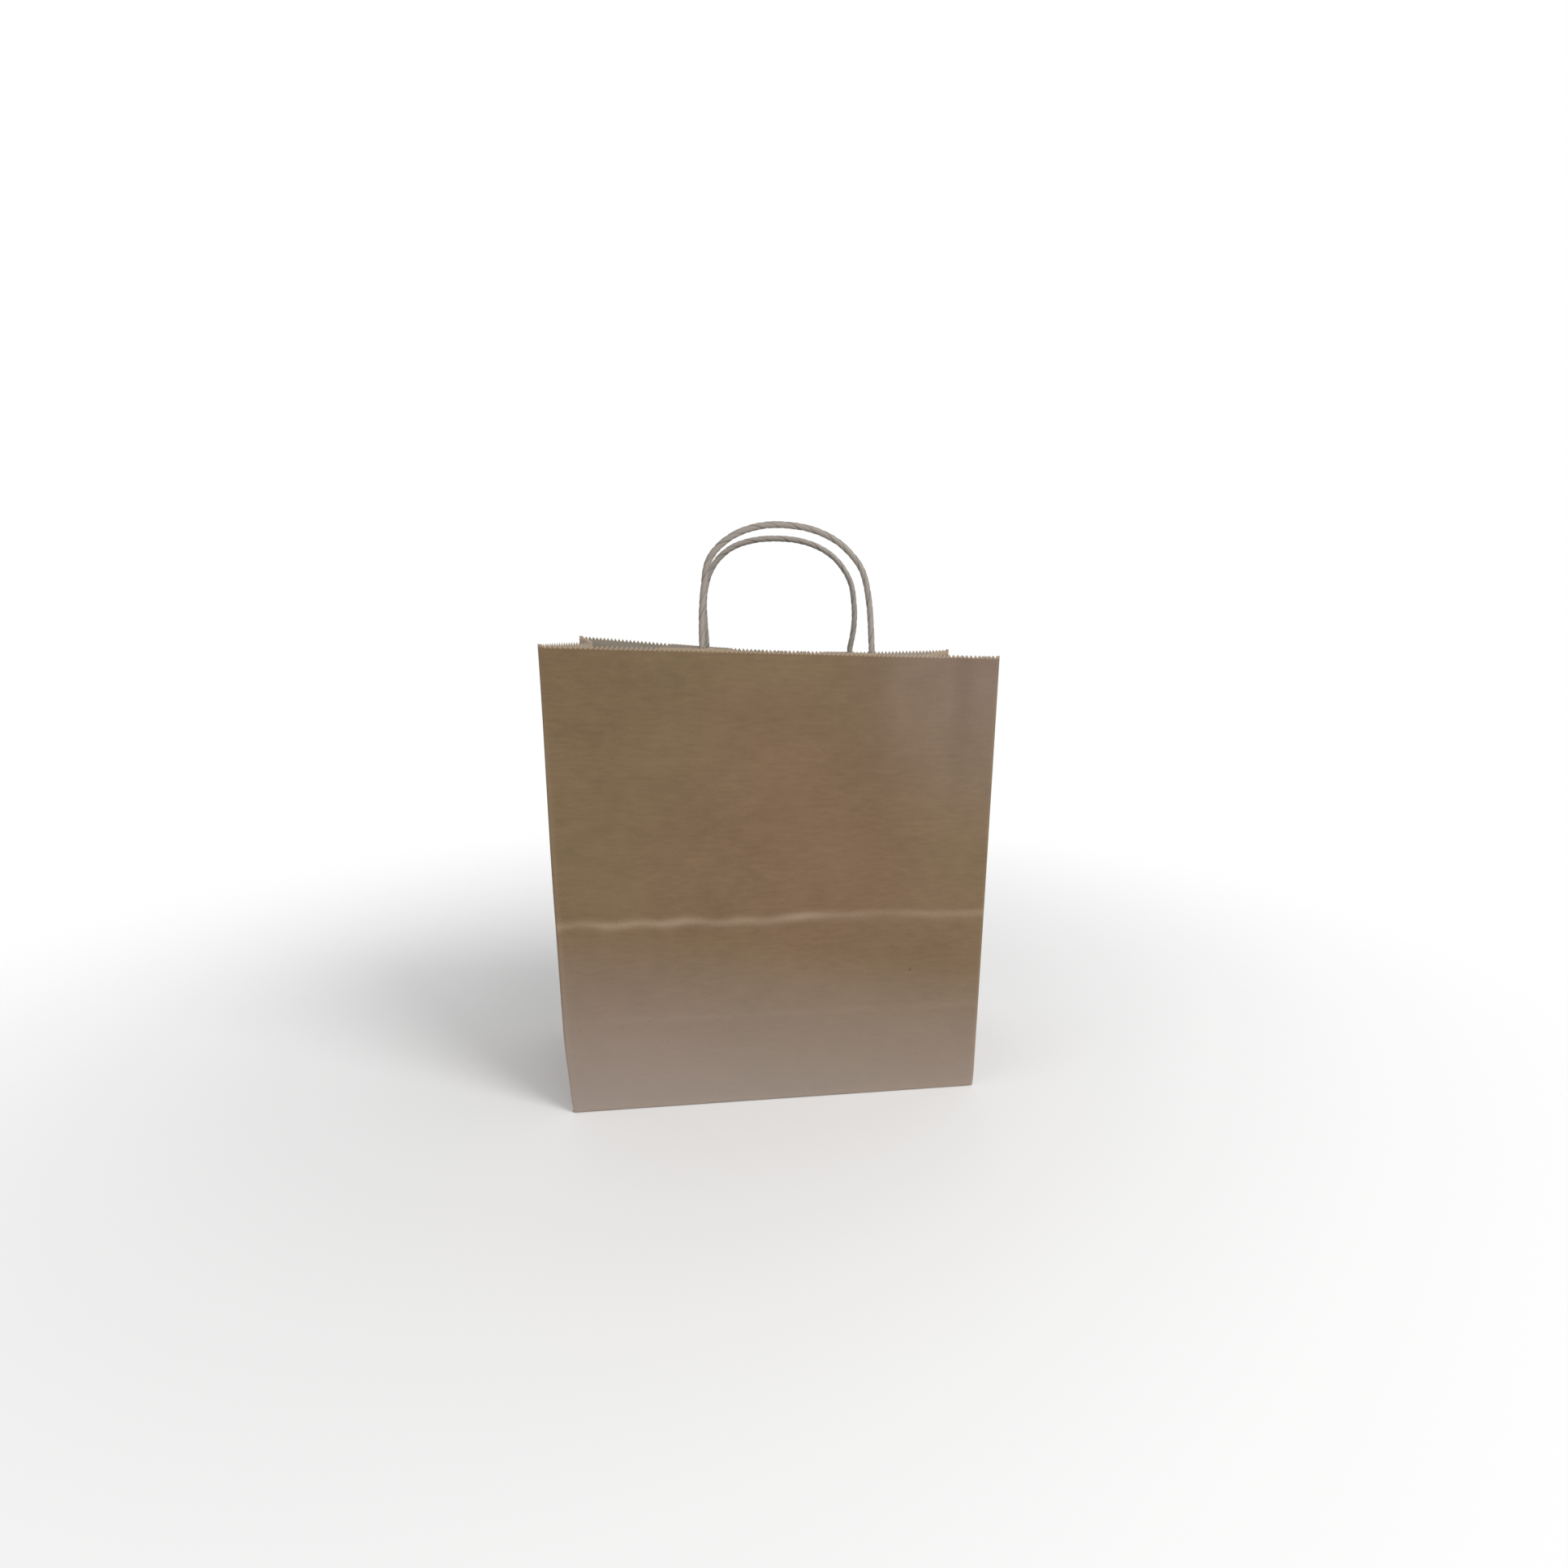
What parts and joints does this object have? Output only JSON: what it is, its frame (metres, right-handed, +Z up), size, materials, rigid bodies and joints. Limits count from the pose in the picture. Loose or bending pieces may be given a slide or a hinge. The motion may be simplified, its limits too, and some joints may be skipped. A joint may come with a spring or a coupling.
{
  "type": "gift bag",
  "caption": "Plain kraft paper gift bag with a folded block bottom, side gussets, a pinked mouth and twisted paper cord handles.",
  "frame": {"origin": "middle of the rectangular underside, on the surface that the bag stands on", "axes": "+Z up towards the mouth and handles, -Y out of the front panel, +X to the right seen from the front"},
  "size_m": [0.28, 0.13, 0.3821],
  "materials": {
    "kraft_sheet": "uncoated brown kraft with fine fibres and faint ribs across",
    "handle_strip": "uncoated brown kraft, a little paler, glued over the cords",
    "handle_cord": "tightly twisted pale kraft paper with a slight sheen"
  },
  "bodies": {
    "bottom": {"base_rear_flap": "kraft_sheet", "base_front_flap": "kraft_sheet", "base_left_tuck": "kraft_sheet", "base_right_tuck": "kraft_sheet"},
    "left_gusset_foot": {"left_gusset_foot": "kraft_sheet"},
    "right_gusset_foot": {"right_gusset_foot": "kraft_sheet"},
    "front_wall": {"front_panel": "kraft_sheet", "front_outer_strip": "handle_strip", "front_inner_strip": "handle_strip", "front_handle_tail_left": "handle_cord", "front_handle_tail_right": "handle_cord"},
    "back_wall": {"back_panel": "kraft_sheet", "back_seam_lap": "kraft_sheet", "back_outer_strip": "handle_strip", "back_inner_strip": "handle_strip", "back_handle_tail_left": "handle_cord", "back_handle_tail_right": "handle_cord"},
    "left_gusset_front": {"left_gusset_front": "kraft_sheet"},
    "left_gusset_rear": {"left_gusset_rear": "kraft_sheet"},
    "right_gusset_front": {"right_gusset_front": "kraft_sheet"},
    "right_gusset_rear": {"right_gusset_rear": "kraft_sheet"},
    "front_handle": {"front_handle_loop": "handle_cord"},
    "back_handle": {"back_handle_loop": "handle_cord"}
  },
  "joints": [
    {"name": "mouth_close", "type": "hinge", "parent": "bottom", "child": "front_wall", "pos_m": [0, -0.065, 0.0014], "axis": [-1, 0, 0], "range_deg": [0, 3]},
    {"name": "back_wall_lean", "type": "hinge", "parent": "bottom", "child": "back_wall", "pos_m": [0, 0.065, 0.0014], "axis": [1, 0, 0], "range_deg": [0, 3.05]},
    {"name": "left_gusset_front_fold", "type": "hinge", "parent": "front_wall", "child": "left_gusset_front", "pos_m": [-0.1399, -0.0649, 0], "axis": [0, 0, -1], "range_deg": [0, 29.65]},
    {"name": "left_gusset_rear_fold", "type": "hinge", "parent": "back_wall", "child": "left_gusset_rear", "pos_m": [-0.1399, 0.065, 0], "axis": [0.0175, -0.0195, 0.9997], "range_deg": [0, 27.85]},
    {"name": "right_gusset_front_fold", "type": "hinge", "parent": "front_wall", "child": "right_gusset_front", "pos_m": [0.1399, -0.0649, 0], "axis": [0, 0, 1], "range_deg": [0, 22.45]},
    {"name": "right_gusset_rear_fold", "type": "hinge", "parent": "back_wall", "child": "right_gusset_rear", "pos_m": [0.1399, 0.065, 0], "axis": [0.0289, 0.0942, -0.9951], "range_deg": [0, 17.75]},
    {"name": "left_gusset_foot_lean", "type": "hinge", "parent": "bottom", "child": "left_gusset_foot", "pos_m": [-0.1399, 0, 0.0016], "axis": [0, 1, 0], "range_deg": [0, 13.45]},
    {"name": "right_gusset_foot_lean", "type": "hinge", "parent": "bottom", "child": "right_gusset_foot", "pos_m": [0.1399, 0, 0.0016], "axis": [0, -1, 0], "range_deg": [0, 11.95]},
    {"name": "front_handle_swing", "type": "hinge", "parent": "front_wall", "child": "front_handle", "pos_m": [0.005, -0.0621, 0.311], "axis": [1, 0, 0], "range_deg": [-12, 90]},
    {"name": "back_handle_swing", "type": "hinge", "parent": "back_wall", "child": "back_handle", "pos_m": [0.00424, 0.01655, 0.30715], "axis": [-0.9979, 0.064, 0.0105], "range_deg": [-12, 90]}
  ],
  "couplings": [
    {"joint": "back_wall_lean", "follows": "mouth_close", "ratio": 1},
    {"joint": "left_gusset_front_fold", "follows": "mouth_close", "ratio": 9.8667},
    {"joint": "left_gusset_rear_fold", "follows": "mouth_close", "ratio": 9.2667},
    {"joint": "right_gusset_front_fold", "follows": "mouth_close", "ratio": 7.4667},
    {"joint": "right_gusset_rear_fold", "follows": "mouth_close", "ratio": 5.9},
    {"joint": "left_gusset_foot_lean", "follows": "mouth_close", "ratio": 4.4667},
    {"joint": "right_gusset_foot_lean", "follows": "mouth_close", "ratio": 3.9667}
  ]
}
